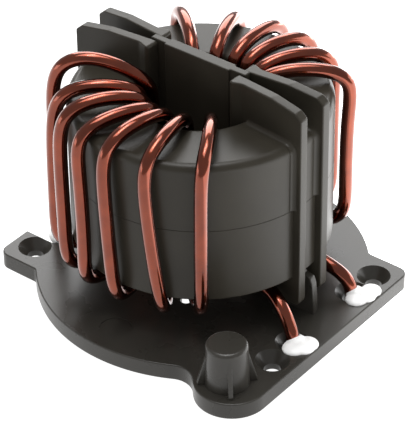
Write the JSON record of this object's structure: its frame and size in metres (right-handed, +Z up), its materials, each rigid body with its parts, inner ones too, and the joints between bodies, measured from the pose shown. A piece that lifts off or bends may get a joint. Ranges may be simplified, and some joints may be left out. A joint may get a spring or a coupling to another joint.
{
  "type": "common-mode ring-core choke",
  "caption": "Ring-core choke with two windings of thick enamelled copper wire in a finned plastic case, on a screw-down base plate with leads for a circuit board.",
  "frame": {"origin": "middle of the four screw holes, on the underside of the base plate", "axes": "+Z up along the core's axis, +X across the divider, +Y along the divider and the base plate's long side"},
  "size_m": [0.072, 0.075, 0.0596],
  "materials": {
    "base_plastic": "black glass-filled moulding, satin",
    "case_plastic": "black moulding, satin",
    "core_ferrite": "sintered ferrite, dark grey",
    "enamelled_wire": "copper wire under clear red-brown enamel, glossy",
    "white_adhesive": "set white silicone adhesive, glossy"
  },
  "bodies": {
    "root": {"base_plate": "base_plastic", "case_lower": "case_plastic", "case_upper": "case_plastic", "ring_core": "core_ferrite", "separator_plate": "case_plastic", "winding_a": "enamelled_wire", "winding_b": "enamelled_wire", "adhesive_a_front": "white_adhesive", "adhesive_a_rear": "white_adhesive", "adhesive_b_front": "white_adhesive", "adhesive_b_rear": "white_adhesive"}
  },
  "joints": []
}
